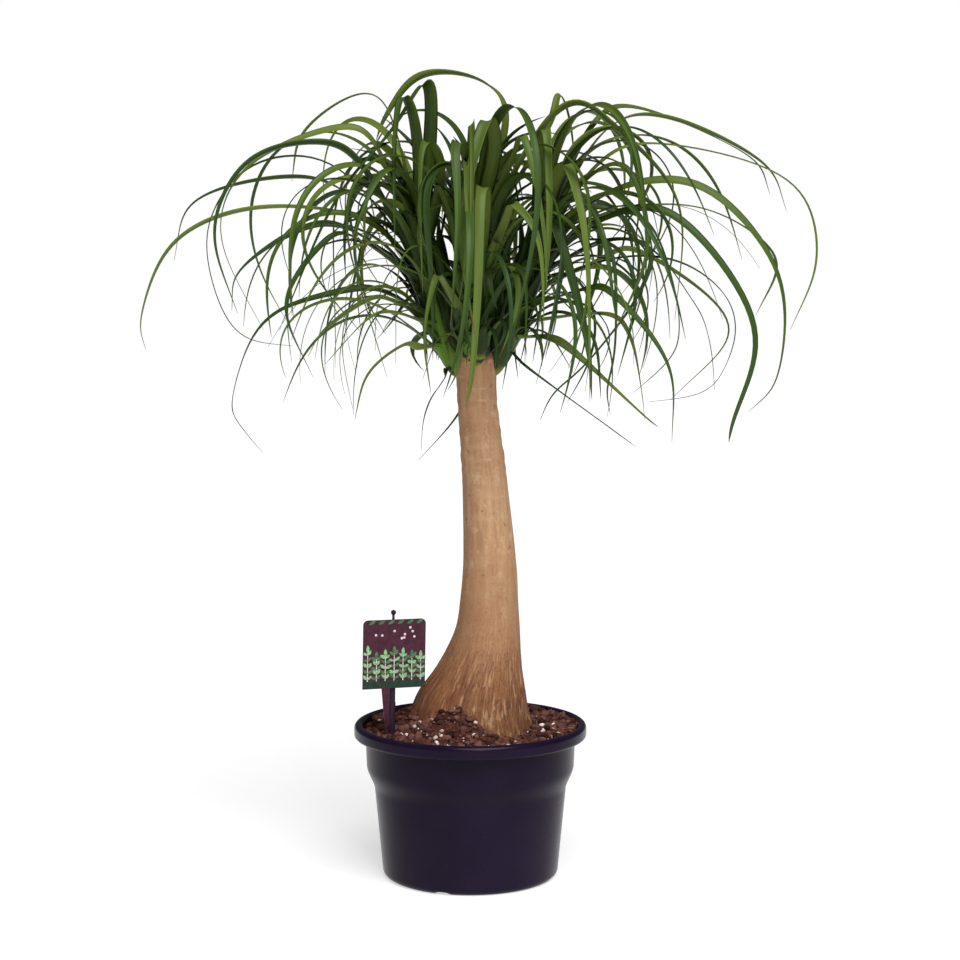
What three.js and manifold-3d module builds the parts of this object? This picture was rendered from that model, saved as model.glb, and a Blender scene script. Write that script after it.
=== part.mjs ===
// A potted ponytail palm: a swollen trunk cut short, four heads of arching strap leaves that sprouted round
// the cut, potting mix, a growers' pot and a plant label on its stake.
// Millimetres. The origin is the centre of the pot's underside, +Z is up and -Y faces the viewer.

import * as THREE from 'three';
import { mergeVertices } from 'three/addons/utils/BufferGeometryUtils.js';
import Module from 'manifold-3d';

const wasm = await Module();
wasm.setup();

const GAP = 0.3; // clear space between pieces that touch

// Pot
const POT_SIDES = 40;
const RIM_RADIUS = 120;
const RIM_HEIGHT = 160;
const LIP_DEPTH = 12;
const LIP_WIDTH = 9.5;
const WALL = 2;
const FLOOR = 3;
const SHOULDER_RADIUS = 108.3; // just under the lip
const SHOULDER_HEIGHT = 146;
const STEP_RADIUS = 105.3; // where the wall steps in
const STEP_HEIGHT = 109;
const BODY_RADIUS = 98.8;
const BODY_HEIGHT = 94;
const FOOT_RADIUS = 91;
const FOOT_ROUND = 8;
const NOTCHES = 4; // drainage notches in the foot
const NOTCH = { width: 13, height: 3.2, depth: 10, turn: -109 };

// Potting mix: nearly level, a little lower on the left, with heaps against the trunk's front and left
const SOIL_LEVEL = 154.5;
const SOIL_SLOPE = 0.02;
const SOIL_RINGS = 6;
const HEAPS = [
  { x: -18, y: -38, height: 18.5, spread: 30 },
  { x: -60, y: -6, height: 15, spread: 15 },
];
const CRUMB = 1.1; // unevenness of the surface

// Trunk: [height, sideways shift of its centre, radius]
const TRUNK_SIDES = 22;
const TRUNK_RINGS = 22;
const TRUNK = [
  [96, 0, 44],
  [112, 0, 58],
  [150, 0, 65],
  [176, 0.5, 60],
  [194, 3, 54.8],
  [214, 8.8, 46],
  [235, 14, 38.8],
  [260, 18.3, 32.9],
  [288, 19.5, 29.8],
  [330, 20, 27],
  [410, 15, 23],
  [490, 7.5, 20.5],
  [536, 5.5, 21],
  [544, 5.5, 18],
];
const BARK_FURROWS = 9;
const BARK_DEPTH = 1.6;

// Leaves
const STEPS = 24; // steps that a leaf's path is grown in
const STRIDE = 4; // steps in one facet of a blade
const KEEL = 1.9; // depth of a blade's folded section
const LEAST = 0.9; // width and depth left near the tip
const EYE = new THREE.Vector3(10, -2500, 690); // the viewpoint that the named leaves are given for
const LOWEST = [470, 600]; // heights that the leaves grown by rule hang down to
const HIGHEST = [690, 800]; // and that they stand up to
const SHORTEST = 90;
const LEAF_COLOR = 0x4f6f33;

// Heads: the stem's foot, its lean off upright and where to, its length, the way that its leaves face, how
// many leaves it grows by the rule below, by what part of their length they have bent over, and its seed
const STEM_SIDES = 10;
const STEM_RADIUS = 9.5;
const HEADS = [
  {
    name: 'head_left', foot: [-13, 0, 527], lean: 17, toward: 182, stem: 135,
    faces: 180, leaves: 32, bent: [0.8, 1.15], seed: 11,
  },
  {
    name: 'head_front', foot: [6, -15, 534], lean: 9, toward: -100, stem: 135,
    faces: -90, leaves: 31, bent: [0.6, 0.9], seed: 23,
  },
  {
    name: 'head_right', foot: [25, 0, 530], lean: 19, toward: 3, stem: 168,
    faces: 0, leaves: 33, bent: [0.8, 1.15], seed: 37,
  },
  {
    name: 'head_back', foot: [6, 15, 535], lean: 12, toward: 85, stem: 145,
    faces: 90, leaves: 34, bent: [0.7, 1.1], seed: 53,
  },
];

// Leaves that give the crown its outline, as they are seen from the front: the part of the stem that the root
// sits at, the width, how far the tip ends behind (+) or before (-) its root, the roll of the blade in
// degrees, and the places [x, z] that the leaf passes on the upright plane through the trunk.
const OUTLINE = {
  head_left: [
    [0.95, 13, -80, 10, [[-56, 765], [-69, 800], [-76, 745], [-76, 640]]],
    [0.9, 11, -100, -10, [[-30, 725], [-45, 755], [-51, 718], [-48, 600]]],
    [0.8, 8, 30, 35, [[-100, 680], [-215, 690], [-300, 655], [-334, 580], [-330, 545]]],
    [0.9, 8, 50, 40, [[-76, 775], [-110, 803], [-168, 765], [-180, 715]]],
    [0.8, 12, -50, 45, [[-105, 735], [-155, 755], [-225, 735], [-260, 665], [-236, 582]]],
    [0.85, 10, 10, -40, [[-90, 755], [-140, 768], [-225, 730], [-254, 660], [-210, 565]]],
    [0.75, 7, 90, 35, [[-120, 705], [-190, 720], [-280, 695], [-300, 635]]],
    [0.45, 9, -20, -40, [[-82, 608], [-130, 605], [-210, 575], [-243, 495], [-235, 468]]],
    [0.4, 11, -70, 45, [[-70, 594], [-100, 597], [-148, 565], [-165, 538]]],
    [0.2, 12, -40, 50, [[-45, 548], [-66, 550], [-104, 520], [-118, 473]]],
    [0.7, 9, -60, -45, [[-110, 660], [-146, 655], [-188, 592], [-160, 517]]],
    [0.75, 9, 30, 50, [[-120, 670], [-172, 667], [-234, 625], [-242, 585]]],
    [0.35, 8, -90, 40, [[-76, 584], [-106, 574], [-148, 530]]],
    [0.95, 14, -70, 30, [[-40, 812], [-78, 765], [-138, 692], [-194, 565]]],
  ],
  head_front: [
    [0.95, 15, -120, 5, [[25, 745], [16, 778], [-4, 705], [-8, 640], [5, 560]]],
    [0.85, 14, -140, -8, [[-1, 735], [-15, 752], [-12, 680], [-20, 565]]],
    [0.9, 12, -110, 12, [[42, 740], [54, 757], [74, 670], [78, 600]]],
    [0.6, 12, -120, 20, [[34, 678], [44, 692], [70, 655], [75, 570]]],
    [0.5, 14, -130, -5, [[15, 693], [10, 706], [8, 615], [2, 520], [-5, 487]]],
    [0.95, 14, -60, -30, [[88, 790], [152, 762], [212, 690], [208, 575]]],
    [0.3, 11, -110, 10, [[-22, 610], [-34, 618], [-46, 560], [-40, 500]]],
  ],
  head_right: [
    [0.85, 9, -30, 40, [[120, 730], [182, 755], [320, 720], [352, 640], [325, 565]]],
    [0.9, 7, 60, -35, [[130, 765], [195, 781], [295, 735], [320, 685]]],
    [0.95, 7, 110, 35, [[120, 770], [166, 790], [280, 742], [303, 702]]],
    [0.75, 11, -70, 45, [[130, 705], [230, 714], [312, 625], [314, 520], [284, 482]]],
    [0.7, 9, 20, -40, [[130, 684], [232, 690], [310, 640], [290, 580]]],
    [0.65, 13, -100, 40, [[126, 678], [204, 684], [290, 572], [268, 475], [264, 450]]],
    [0.5, 8, 40, -45, [[125, 638], [172, 645], [266, 570], [204, 494]]],
    [0.4, 10, -60, 45, [[110, 608], [144, 602], [202, 530], [206, 450]]],
    [0.8, 13, -90, 25, [[115, 718], [158, 728], [180, 648], [148, 565]]],
    [0.7, 11, -40, -30, [[120, 696], [142, 694], [176, 625], [158, 548]]],
    [0.55, 15, -110, 12, [[74, 673], [88, 664], [118, 560], [124, 494]]],
    [0.75, 16, -140, -12, [[85, 716], [100, 728], [118, 645], [122, 492]]],
    [0.85, 13, -110, 8, [[72, 745], [78, 763], [80, 660], [70, 568]]],
    [0.2, 10, -50, 45, [[80, 558], [114, 534], [174, 480], [192, 466]]],
    [0.3, 8, -30, -40, [[130, 584], [160, 560], [174, 505], [178, 474]]],
  ],
  head_back: [
    [0.95, 14, 40, 35, [[40, 775], [14, 815], [-50, 822], [-84, 782], [-95, 755]]],
    [0.9, 10, 60, 15, [[74, 765], [88, 802], [100, 775], [107, 722]]],
  ],
};

const radians = THREE.MathUtils.degToRad;
const mix = THREE.MathUtils.lerp;

// Repeatable random draws
function seeded(seed) {
  let state = seed * 7919;
  return (low, high) => {
    state = (state * 48271) % 2147483647;
    return mix(low, high, state / 2147483647);
  };
}

// A closed surface over a stack of rings with equally many points; each end is a fan over its ring, or a
// point where the ring has one
function loft(rings) {
  const places = rings.flat();
  const faces = [];
  const sides = rings.find((ring) => ring.length > 1).length;
  let start = 0;
  for (let i = 0; i + 1 < rings.length; i++) {
    const next = start + rings[i].length;
    for (let j = 0; j < sides; j++) {
      const k = (j + 1) % sides;
      if (rings[i].length === 1) faces.push(start, next + j, next + k);
      else if (rings[i + 1].length === 1) faces.push(start + j, next, start + k);
      else faces.push(start + j, next + j, next + k, start + j, next + k, start + k);
    }
    start = next;
  }
  for (let j = 1; j + 1 < sides; j++) {
    if (rings[0].length > 1) faces.push(0, j, j + 1);
    if (rings.at(-1).length > 1) faces.push(start, start + j + 1, start + j);
  }
  const geometry = new THREE.BufferGeometry().setFromPoints(places);
  geometry.setIndex(faces);
  return geometry;
}

// The volume inside a closed surface, below zero where its faces point inwards
function volume(geometry) {
  const place = geometry.attributes.position;
  const corner = (i) => new THREE.Vector3().fromBufferAttribute(place, geometry.index.getX(i));
  let sum = 0;
  for (let i = 0; i < geometry.index.count; i += 3) sum += corner(i).dot(corner(i + 1).cross(corner(i + 2)));
  return sum / 6;
}

// three.js geometry to a solid, and back
function solid(geometry) {
  const bare = geometry.clone();
  bare.deleteAttribute('normal');
  bare.deleteAttribute('uv');
  const merged = mergeVertices(bare, 1e-4);
  const triVerts = new Uint32Array(merged.index.array);
  if (volume(merged) < 0) triVerts.reverse();
  const vertProperties = new Float32Array(merged.attributes.position.array);
  return new wasm.Manifold(new wasm.Mesh({ numProp: 3, vertProperties, triVerts }));
}

function geometryOf(body) {
  const mesh = body.getMesh();
  const geometry = new THREE.BufferGeometry();
  geometry.setAttribute('position', new THREE.BufferAttribute(mesh.vertProperties, 3));
  geometry.setIndex(new THREE.BufferAttribute(mesh.triVerts, 1));
  geometry.computeVertexNormals();
  return geometry;
}

function circle(sides, radius, x, y, z) {
  return Array.from({ length: sides }, (_, j) => {
    const angle = (j / sides) * 2 * Math.PI;
    const reach = typeof radius === 'function' ? radius(angle) : radius;
    return new THREE.Vector3(x + reach * Math.cos(angle), y + reach * Math.sin(angle), z);
  });
}

// Pot: one moulded wall with a rolled lip, a step under the shoulder and a rounded foot
function roundedFoot(radius, inset) {
  const arc = [];
  for (const angle of [-90, -45, 0]) {
    const reach = FOOT_ROUND - inset;
    const x = radius - FOOT_ROUND + reach * Math.cos(radians(angle));
    arc.push(new THREE.Vector2(x, FOOT_ROUND + reach * Math.sin(radians(angle))));
  }
  return arc;
}

function innerWall(inset) {
  return [
    ...roundedFoot(FOOT_RADIUS, FLOOR + inset),
    new THREE.Vector2(BODY_RADIUS - WALL - inset, BODY_HEIGHT - WALL),
    new THREE.Vector2(STEP_RADIUS - WALL - inset, STEP_HEIGHT),
    new THREE.Vector2(SHOULDER_RADIUS - WALL - inset, SHOULDER_HEIGHT),
    new THREE.Vector2(RIM_RADIUS - LIP_WIDTH - inset, SHOULDER_HEIGHT + 3),
  ];
}

function pot() {
  const lipBottom = RIM_HEIGHT - LIP_DEPTH;
  const outer = [
    new THREE.Vector2(0, 0),
    ...roundedFoot(FOOT_RADIUS, 0),
    new THREE.Vector2(BODY_RADIUS, BODY_HEIGHT),
    new THREE.Vector2(STEP_RADIUS, STEP_HEIGHT),
    new THREE.Vector2(SHOULDER_RADIUS, SHOULDER_HEIGHT),
    new THREE.Vector2(RIM_RADIUS - 3.5, lipBottom),
    new THREE.Vector2(RIM_RADIUS - 0.7, lipBottom + 2.5),
    new THREE.Vector2(RIM_RADIUS, lipBottom + 6),
    new THREE.Vector2(RIM_RADIUS - 1.2, RIM_HEIGHT - 2.5),
    new THREE.Vector2(RIM_RADIUS - LIP_WIDTH / 2, RIM_HEIGHT),
    new THREE.Vector2(RIM_RADIUS - LIP_WIDTH + 0.8, RIM_HEIGHT - 1.5),
  ];
  const profile = [...outer, ...innerWall(0).reverse(), new THREE.Vector2(0, FLOOR)];
  const wall = new THREE.LatheGeometry(profile, POT_SIDES);
  wall.rotateX(Math.PI / 2);
  let body = solid(wall);
  for (let i = 0; i < NOTCHES; i++) {
    const notch = new THREE.BoxGeometry(NOTCH.depth, NOTCH.width, NOTCH.height * 2);
    notch.translate(FOOT_RADIUS, 0, 0);
    notch.rotateZ(radians(NOTCH.turn) + (i / NOTCHES) * 2 * Math.PI);
    body = body.subtract(solid(notch));
  }
  return body;
}

// Trunk
const trunkCurve = new THREE.CatmullRomCurve3(
  TRUNK.map(([height, shift, radius]) => new THREE.Vector3(shift, radius, height)),
);

function trunk(grown) {
  const rings = [];
  for (let i = 0; i <= TRUNK_RINGS; i++) {
    const { x: shift, y: radius, z: height } = trunkCurve.getPoint(i / TRUNK_RINGS);
    const swollen = THREE.MathUtils.smoothstep(radius, 24, 60);
    const furrow = (angle) => Math.sin(BARK_FURROWS * angle + height * 0.02) + 0.6 * Math.sin(5 * angle - 1);
    const ringScar = 0.35 * Math.sin(height * 0.55) * (1 - swollen);
    const reach = (angle) => radius + grown + BARK_DEPTH * swollen * furrow(angle) + ringScar;
    const end = i === 0 ? -grown : i === TRUNK_RINGS ? grown : 0;
    rings.push(circle(TRUNK_SIDES, reach, shift, 0, height + end));
  }
  return solid(loft(rings));
}

// Potting mix, filling the pot
function soilHeight(x, y) {
  let height = SOIL_LEVEL + SOIL_SLOPE * x;
  height += CRUMB * (Math.sin(x * 0.31 + 2 * Math.sin(y * 0.17)) + Math.sin(y * 0.37 + x * 0.13));
  for (const heap of HEAPS) {
    const distance = Math.hypot(x - heap.x, y - heap.y);
    height += heap.height * Math.exp(-((distance / heap.spread) ** 2) / 2);
  }
  return height;
}

function soil() {
  const wall = innerWall(GAP);
  const rings = [[new THREE.Vector3(0, 0, FLOOR + GAP)]];
  for (const { x: radius, y: height } of wall.slice(0, -1)) {
    rings.push(circle(POT_SIDES, radius, 0, 0, height));
  }
  const edge = wall.at(-1).x;
  for (let i = SOIL_RINGS; i > 0; i--) {
    const ring = circle(POT_SIDES, (edge * i) / SOIL_RINGS, 0, 0, 0);
    for (const place of ring) place.z = soilHeight(place.x, place.y);
    rings.push(ring);
  }
  rings.push([new THREE.Vector3(0, 0, soilHeight(0, 0))]);
  return solid(loft(rings));
}

// Label: a printed card with a pointed tail, held before a round stake with a ball on top
const CARD = { width: 66.5, height: 70.5, corner: 5, thick: 0.8, bottom: 204.3 };
const TAIL = { x: -8.5, width: 9, tip: -6, sunk: 12 };
const STAKE = {
  x: -81,
  y: -40,
  radius: 3.6,
  neck: 1.3,
  ball: 2.7,
  bottom: 104,
  top: 284,
  tilt: 1.1,
  turn: 20,
};

function tilted(geometry) {
  geometry.rotateZ(radians(STAKE.turn));
  geometry.rotateY(radians(STAKE.tilt));
  geometry.translate(STAKE.x, STAKE.y, STAKE.bottom);
  return solid(geometry);
}

function stake(grown) {
  const height = STAKE.top - STAKE.bottom;
  const neckFrom = height - 26;
  const profile = [
    new THREE.Vector2(0, -grown),
    new THREE.Vector2(0.8 + grown, -grown),
    new THREE.Vector2(STAKE.radius + grown, 30),
    new THREE.Vector2(STAKE.radius + grown, 84),
    new THREE.Vector2(STAKE.radius - 0.5 + grown, 86),
    new THREE.Vector2(STAKE.radius - 0.5 + grown, neckFrom),
    new THREE.Vector2(STAKE.neck + grown, neckFrom + 6),
    new THREE.Vector2(STAKE.neck + grown, height - 2 * STAKE.ball + 0.6),
    new THREE.Vector2(STAKE.ball * 0.9 + grown, height - STAKE.ball * 1.4),
    new THREE.Vector2(STAKE.ball + grown, height - STAKE.ball * 0.9),
    new THREE.Vector2(STAKE.ball * 0.7 + grown, height - STAKE.ball * 0.25),
    new THREE.Vector2(0, height),
  ];
  const rod = new THREE.LatheGeometry(profile, 12);
  rod.rotateX(Math.PI / 2);
  return tilted(rod);
}

function card(grown) {
  const half = CARD.width / 2;
  const low = CARD.bottom - STAKE.bottom;
  const high = low + CARD.height;
  const round = CARD.corner;
  const tip = soilHeight(STAKE.x + TAIL.tip, STAKE.y) - STAKE.bottom - TAIL.sunk;
  const outline = new THREE.Shape();
  outline.moveTo(-half, low);
  outline.lineTo(TAIL.x - TAIL.width / 2 - grown, low);
  outline.lineTo(TAIL.tip - grown - 0.5, tip);
  outline.lineTo(TAIL.tip + grown + 0.5, tip);
  outline.lineTo(TAIL.x + TAIL.width / 2 + grown, low);
  outline.lineTo(half, low);
  outline.lineTo(half, high - round);
  outline.absarc(half - round, high - round, round, 0, Math.PI / 2, false);
  outline.lineTo(round - half, high);
  outline.absarc(round - half, high - round, round, Math.PI / 2, Math.PI, false);
  const depth = CARD.thick + 2 * grown;
  const plate = new THREE.ExtrudeGeometry(outline, { depth, bevelEnabled: false, curveSegments: 5 });
  plate.rotateX(Math.PI / 2);
  plate.translate(0, -STAKE.radius - GAP + grown, 0);
  return tilted(plate);
}

// A head's stem: a leaning rod, thickest at its middle, where the clasping leaf bases lie deepest
function stemAxis(head) {
  const lean = radians(head.lean);
  const toward = radians(head.toward);
  return new THREE.Vector3(
    Math.sin(lean) * Math.cos(toward),
    Math.sin(lean) * Math.sin(toward),
    Math.cos(lean),
  );
}

function stemRadius(along) {
  return STEM_RADIUS * (mix(1, 0.4, along) + 0.8 * Math.sin(Math.PI * Math.max(along, 0)));
}

function stem(head, grown) {
  const axis = stemAxis(head);
  const rings = [];
  for (const along of [-0.07, 0.08, 0.3, 0.6, 0.85, 1]) {
    const centre = new THREE.Vector3(...head.foot).addScaledVector(axis, head.stem * along);
    const sunk = along < 0 ? -grown : 0;
    rings.push(circle(STEM_SIDES, stemRadius(along) + grown, centre.x, centre.y, centre.z + sunk));
  }
  return solid(loft(rings));
}

// The root of a leaf, inside its stem, at a part of the stem's length
function rootOf(head, along) {
  return new THREE.Vector3(...head.foot).addScaledVector(stemAxis(head), head.stem * along);
}

// A leaf of the outline: a smooth curve through its seen places, each moved along the line of sight to the
// depth that the leaf has there
function outlineLeaf(head, [along, width, depth, roll, seen]) {
  const root = rootOf(head, along);
  const places = seen.map(([x, z], i) => {
    const u = (i + 1) / seen.length;
    const y = root.y + depth * (1 - (1 - u) ** 2);
    const sight = new THREE.Vector3(x, 0, z).sub(EYE);
    return sight.multiplyScalar(1 + y / -EYE.y).add(EYE);
  });
  const curve = new THREE.CatmullRomCurve3([root, ...places], false, 'catmullrom', 0.5);
  return { head, width, roll, twist: 0, path: curve.getPoints(STEPS) };
}

// A leaf grown by rule: it leaves the stem at some rise above level, folds over part way along and hangs. One
// that would stand too high or hang too low is shorter.
function grownLeaf(head, i, draw) {
  const age = (i + 0.5) / head.leaves; // 0 the oldest and lowest, 1 the youngest
  const root = rootOf(head, mix(0.12, 0.97, age));
  const spread = ((i * 0.618034) % 1) - 0.5;
  const leaf = { head };
  leaf.heading = head.faces + mix(110, 150, age) * spread + draw(-8, 8);
  leaf.rise = mix(30, 86, age ** 0.6) + draw(-8, 8);
  leaf.tip = draw(-125, -75) + mix(15, 0, age);
  leaf.bend = [draw(0, 0.12), draw(head.bent[0], head.bent[1])]; // the stretch of its length that bends over
  leaf.drift = draw(-30, 30);
  leaf.width = mix(9, 15, age) * draw(0.75, 1.1);
  const lowest = draw(LOWEST[0], LOWEST[1]);
  const highest = draw(HIGHEST[0], HIGHEST[1]);
  let length = mix(210, 440, age ** 0.7) * draw(0.8, 1.15);
  leaf.path = bend(leaf, root, length);
  while (length > SHORTEST && leaf.path.some((place) => place.z < lowest || place.z > highest)) {
    length *= 0.94;
    leaf.path = bend(leaf, root, length);
  }
  leaf.roll = draw(-30, 30);
  leaf.twist = draw(-60, 60);
  return leaf;
}

function bend(leaf, root, length) {
  const path = [root];
  for (let k = 0; k < STEPS; k++) {
    const u = (k + 0.5) / STEPS;
    const over = THREE.MathUtils.smoothstep(u, leaf.bend[0], leaf.bend[1]);
    const up = radians(mix(leaf.rise, leaf.tip, over));
    const turned = radians(leaf.heading + leaf.drift * u);
    const level = Math.cos(up);
    const step = new THREE.Vector3(level * Math.cos(turned), level * Math.sin(turned), Math.sin(up));
    path.push(path[k].clone().addScaledVector(step, length / STEPS));
  }
  return path;
}

// A blade along its leaf's path: a folded strap of three-sided section that tapers to a point
function bladeWidth(leaf, u) {
  return leaf.width * Math.min(1, 0.3 + 3 * u) * (1 - u) ** 0.8 + LEAST;
}

function blade(leaf, grown) {
  const { path } = leaf;
  const out = path[STEPS / 2].clone().sub(path[0]);
  const level = new THREE.Vector3(-out.y, out.x, 0).normalize();
  const rings = [];
  for (let k = 0; k < STEPS; k += STRIDE) {
    const u = k / STEPS;
    const along = path[k + 1].clone().sub(path[Math.max(k - 1, 0)]).normalize();
    const across = level.clone().addScaledVector(along, -level.dot(along)).normalize();
    across.applyAxisAngle(along, radians(leaf.roll + leaf.twist * u));
    const under = new THREE.Vector3().crossVectors(across, along);
    const half = bladeWidth(leaf, u) / 2 + grown;
    const keel = Math.max(LEAST, KEEL * (1 - u) ** 0.4) / 2 + grown;
    rings.push([
      path[k].clone().addScaledVector(across, half).addScaledVector(under, -keel),
      path[k].clone().addScaledVector(across, -half).addScaledVector(under, -keel),
      path[k].clone().addScaledVector(under, keel),
    ]);
  }
  rings.push([path[STEPS]]);
  return solid(loft(rings));
}

// Heads: every leaf joined to its stem. A leaf that would touch another head or the trunk isn't grown.
function boxesMeet(a, b) {
  return [0, 1, 2].every((i) => a.min[i] <= b.max[i] && b.min[i] <= a.max[i]);
}

function meets(one, other) {
  return boxesMeet(one.box, other.box) && one.body.intersect(other.body).volume() > 0;
}

function boxed(body, head) {
  return { body, head, box: body.boundingBox() };
}

const trunkBody = trunk(0);
const taken = [boxed(trunkBody, null)];
for (const head of HEADS) taken.push(boxed(stem(head, GAP), head));

function grow(leaf) {
  const roomy = boxed(blade(leaf, GAP), leaf.head);
  if (taken.some((other) => other.head !== leaf.head && meets(roomy, other))) return;
  taken.push(boxed(blade(leaf, 0), leaf.head));
}

for (const head of HEADS) {
  for (const row of OUTLINE[head.name]) grow(outlineLeaf(head, row));
}
const draws = HEADS.map((head) => seeded(head.seed));
const most = Math.max(...HEADS.map((head) => head.leaves));
for (let i = 0; i < most; i++) {
  HEADS.forEach((head, h) => {
    if (i < head.leaves) grow(grownLeaf(head, head.leaves - 1 - i, draws[h]));
  });
}

// Blades that cross may close in a small hollow. It is filled: only the largest skin, the outer one, is kept.
function headBody(head) {
  const blades = taken.filter((other) => other.head === head).slice(1);
  const joined = wasm.Manifold.union([stem(head, 0), ...blades.map((other) => other.body)]);
  return joined.decompose().reduce((most, skin) => (skin.volume() > most.volume() ? skin : most));
}

// The part, one named mesh for each piece
const plant = new THREE.Group();

function add(name, body, color, roughness) {
  const material = new THREE.MeshStandardMaterial({ color, roughness, metalness: 0 });
  const mesh = new THREE.Mesh(geometryOf(body), material);
  mesh.name = name;
  plant.add(mesh);
}

const sockets = wasm.Manifold.union(HEADS.map((head) => stem(head, GAP)));
const holes = wasm.Manifold.union([trunk(GAP), stake(GAP), card(GAP)]);
add('pot', pot(), 0x2b2238, 0.35);
add('potting_mix', soil().subtract(holes), 0x5b3228, 0.95);
add('trunk', trunkBody.subtract(sockets), 0xa8794f, 0.85);
for (const head of HEADS) add(head.name, headBody(head), LEAF_COLOR, 0.5);
add('label_stake', stake(0), 0x2a2338, 0.4);
add('label_card', card(0), 0x4a2536, 0.35);

export default plant;
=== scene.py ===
# A potted ponytail palm: the looks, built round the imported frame.
# Lengths are millimetres on the frame's axes, until make_object, and angles in the tables are degrees.

import math

import bmesh
import bpy
import numpy as np
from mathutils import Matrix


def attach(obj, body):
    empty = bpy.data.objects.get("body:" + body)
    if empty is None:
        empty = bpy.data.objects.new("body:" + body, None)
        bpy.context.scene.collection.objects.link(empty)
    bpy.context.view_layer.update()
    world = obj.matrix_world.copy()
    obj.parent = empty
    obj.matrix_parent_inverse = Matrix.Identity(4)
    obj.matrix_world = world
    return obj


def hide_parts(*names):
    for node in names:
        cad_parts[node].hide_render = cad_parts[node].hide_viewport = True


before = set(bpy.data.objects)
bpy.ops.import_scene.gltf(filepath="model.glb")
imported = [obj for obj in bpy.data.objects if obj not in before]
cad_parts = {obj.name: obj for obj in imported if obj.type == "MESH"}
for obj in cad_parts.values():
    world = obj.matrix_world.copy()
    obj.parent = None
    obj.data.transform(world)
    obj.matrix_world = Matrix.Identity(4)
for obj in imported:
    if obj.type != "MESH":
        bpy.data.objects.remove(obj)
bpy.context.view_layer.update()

MM = 0.001

# Camera, at the viewpoint that the outline leaves are given for, and lights, placed in metres
EYE = np.array([10, -2500, 690])
PITCH = math.radians(6.35)    # how far the camera looks down
LENS = 92.2
AMBIENT = 0.11                # light from the white surroundings
SUN = dict(energy=3.7, spread=42, tilt=(35, 13))
STRIP = dict(energy=6, size=(0.16, 0.5), place=(0.35, -2, 1), target=(0, 0, 0.4))
FLOOR_HALF = 9000
FLOOR_GLOW = 0.6

# Pot
POT_SIDES = 192
RIM_RADIUS = 120
RIM_HEIGHT = 160
LIP_DEPTH = 13.5
LIP_WIDTH = 9.5
LIP_ROUND = 3.4
WALL = 2
FLOOR = 3
SHOULDER_RADIUS = 108.3
SHOULDER_HEIGHT = 144.5
SHOULDER_ROUND = 2
STEP_RADIUS = 107.2
STEP_HEIGHT = 117
BODY_RADIUS = 98.8
BODY_HEIGHT = 93.5
FOOT_RADIUS = 91
FOOT_ROUND = 8
NOTCHES = dict(count=4, bearing=-109, half_width=6.5, height=3.2)  # in the foot's edge

# Potting mix, with its heaps: place, height, spread
SOIL_LEVEL = 154.5
SOIL_SLOPE = 0.02
SOIL_RINGS = 76
SOIL_SIDES = 260
SOIL_GAP = 0.5       # to the pot's wall
GRAIN_REACH = 108    # how far from the pot's axis loose grains lie
HEAPS = [((-18, -38), 18.5, 30), ((-60, -6), 15, 15)]
LOOSE_HEAPS = [((-14, -58), 15, 17), ((-62, -14), 5, 14), ((38, -58), -6, 16)]

# Trunk: height, sideways shift of its centre, radius
TRUNK = np.array([
    [96, 0, 44], [112, 0, 58], [150, 0, 65], [176, 0.5, 60], [194, 3, 54.8], [214, 8.8, 46], [235, 14, 38.8],
    [260, 18.3, 32.9], [288, 19.5, 29.8], [330, 20, 27], [410, 15, 23], [490, 7.5, 20.5], [536, 5.5, 21],
    [544, 5.5, 18],
], float)
TRUNK_RINGS = 420
TRUNK_SIDES = 220
BARK_FURROWS = 9
BARK_DEPTH = 1.6

# Stems and leaves; a place along a stem is a part of its length
STEM_RADIUS = 9.5
STEM_SIDES = 24
STEM_LEVELS = np.concatenate([np.linspace(-0.069, 0.06, 12), np.linspace(0.1, 1, 20)])
STEPS = 24              # along a leaf's midline
ROOTS = (0.12, 0.97)    # where the lowest and the highest grown leaf sit on the stem
GOLDEN = 0.618034       # turn from one grown leaf to the next, as part of their fan
LOWEST = (470, 600)     # ranges of a grown leaf's limits of height; it is trimmed until it keeps them
HIGHEST = (690, 800)
SHORTEST = 90
TRIM = 0.94
THIN_LOWEST = (450, 530)    # a thin leaf's limit, beside the trunk and before it
BESIDE = 90                 # how far out a tip is beside the trunk
SHEATH = 62             # length of a leaf's clasping base
SHEATH_ROWS = 14
SHEATH_LIFT = 2.6       # of its upper end, off the stem
BLADE_ROWS = 56
SMOOTHING = 12          # passes that soften a blade's kinks
NARROW = 11.5           # outer leaves narrower than this turn their edges to the front
INNER_LEAVES = 15       # in each head, besides the part's own leaves
# Places across a blade, edge to edge, and back across its under face
UPPER = np.linspace(-1, 1, 7)
UNDER = np.linspace(2 / 3, -2 / 3, 5)

# Each head: its stem's foot, lean, the bearing of that, and length; the bearing its leaves face, how many are
# grown, the range of where their bend ends, their seed; and for the looks, the lowest place a sheath starts,
# how slim the grown leaves are against the part's, and how many thin ones are added
HEADS = {
    "head_left": dict(foot=(-13, 0, 527), lean=17, toward=182, stem=135,
        faces=180, leaves=32, bent=(0.8, 1.15), seed=11, base=-0.06, slim=0.87, thin=13),
    "head_front": dict(foot=(6, -15, 534), lean=9, toward=-100, stem=135,
        faces=-90, leaves=31, bent=(0.6, 0.9), seed=23, base=0.03, slim=1, thin=7),
    "head_right": dict(foot=(25, 0, 530), lean=19, toward=3, stem=168,
        faces=0, leaves=33, bent=(0.8, 1.15), seed=37, base=-0.06, slim=0.87, thin=6),
    "head_back": dict(foot=(6, 15, 535), lean=12, toward=85, stem=145,
        faces=90, leaves=34, bent=(0.7, 1.1), seed=53, base=-0.06, slim=1, thin=8),
}

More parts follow.
